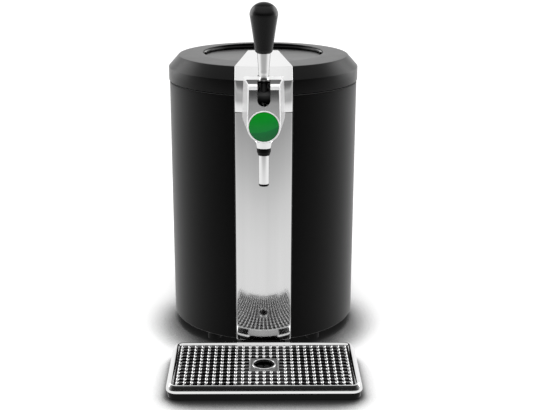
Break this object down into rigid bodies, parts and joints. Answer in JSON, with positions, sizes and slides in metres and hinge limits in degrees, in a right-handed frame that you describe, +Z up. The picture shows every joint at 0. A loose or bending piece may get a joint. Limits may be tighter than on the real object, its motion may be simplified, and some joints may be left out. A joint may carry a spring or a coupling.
{
  "type": "mini keg beer dispenser",
  "caption": "Counter-top cooled dispenser for a small keg: black cylindrical housing, hinged lid with lever tap and spout, bright front panel, slide-out drip tray.",
  "frame": {"origin": "on the table under the middle of the whole footprint, tray and rear housing included", "axes": "+Z up; the tap and the drip tray face -Y; +X is to the right seen from the front"},
  "size_m": [0.262, 0.4754, 0.4745],
  "materials": {
    "black_satin": "satin",
    "lid_black": "satin",
    "disc_graphite": "satin",
    "chrome": "polished",
    "brushed_panel": "satin",
    "tap_satin": "satin",
    "grille_steel": "satin",
    "badge_green": "gloss",
    "pale_ring": "gloss",
    "grip_black": "satin",
    "gloss_black": "gloss",
    "inner_white": "satin",
    "inner_black": "matte",
    "rubber": "matte",
    "foam": "matte",
    "aluminium": "satin",
    "steel": "satin",
    "white_ceramic": "matte",
    "circuit_green": "satin",
    "component_black": "satin",
    "supply_grey": "matte",
    "line_clear": "gloss",
    "tap_polish": "satin",
    "spout_chrome": "polished"
  },
  "bodies": {
    "housing": {"outer_shell": "black_satin", "front_panel": "brushed_panel", "panel_carrier": "inner_black", "base_plate": "inner_black", "rubber_feet": "rubber", "inner_deck": "inner_black", "deck_screws": "steel", "floor_foam": "foam", "foam_jacket": "foam", "keg_liner": "aluminium", "top_collar": "inner_black", "cold_block": "aluminium", "thermoelectric_plate": "white_ceramic", "cold_gasket": "rubber", "heat_sink": "aluminium", "fan_frame": "component_black", "rear_housing": "black_satin", "rear_grille": "lid_black", "power_inlet": "component_black", "switch_bezel": "component_black", "control_board": "circuit_green", "board_components": "component_black", "power_supply": "supply_grey", "temperature_sensor": "component_black", "hinge_bracket": "lid_black", "hinge_pin": "steel"},
    "fan": {"fan_rotor": "component_black"},
    "rocker": {"power_rocker": "gloss_black"},
    "lid": {"lid_shell": "lid_black", "lid_disc": "disc_graphite", "lid_grip_bead": "gloss_black", "chrome_bonnet": "chrome", "lid_liner": "inner_white", "lid_foam": "foam", "lid_gasket": "rubber", "lid_hinge_arm": "lid_black", "keg_coupler": "inner_black", "beer_line": "line_clear", "tap_housing": "tap_polish", "tap_core": "inner_black", "tap_face": "tap_satin", "tap_top_plate": "disc_graphite", "badge_bezel": "pale_ring", "badge": "badge_green", "spout_neck": "chrome", "spout_ring": "gloss_black", "spout_tube": "spout_chrome", "spout_tip": "gloss_black", "lever_pin": "steel"},
    "lever": {"lever_stem": "chrome", "lever_collar": "gloss_black", "tap_handle": "grip_black", "handle_cap": "gloss_black"},
    "pinch": {"pinch_slider": "inner_white"},
    "tray": {"tray_pan": "gloss_black", "tray_pads": "rubber", "tray_frame": "chrome"},
    "grille": {"drip_grille": "grille_steel", "drain_ring": "chrome"}
  },
  "joints": [
    {"name": "lid_hinge", "type": "hinge", "parent": "housing", "child": "lid", "pos_m": [0, 0.1797, 0.354], "axis": [-1, 0, 0], "range_deg": [0, 95]},
    {"name": "tap_lever", "type": "hinge", "parent": "lid", "child": "lever", "pos_m": [0, -0.1173, 0.3575], "axis": [1, 0, 0], "range_deg": [0, 80]},
    {"name": "pinch_slide", "type": "slide", "parent": "lid", "child": "pinch", "axis": [0, -1, 0], "range_m": [0, 0.0014]},
    {"name": "tray_slide", "type": "slide", "parent": "housing", "child": "tray", "axis": [0, -1, 0], "range_m": [0, 0.09]},
    {"name": "grille_lift", "type": "slide", "parent": "tray", "child": "grille", "axis": [0, 0, 1], "range_m": [0, 0.03]},
    {"name": "fan_spin", "type": "hinge", "parent": "housing", "child": "fan", "pos_m": [0, 0.2037, 0.205], "axis": [0, 1, 0], "continuous": true},
    {"name": "rocker_press", "type": "hinge", "parent": "housing", "child": "rocker", "pos_m": [0.05, 0.2307, 0.076], "axis": [1, 0, 0], "range_deg": [0, 14]}
  ],
  "couplings": [
    {"joint": "pinch_slide", "follows": "tap_lever", "m_per_rad": 0.0010017}
  ]
}
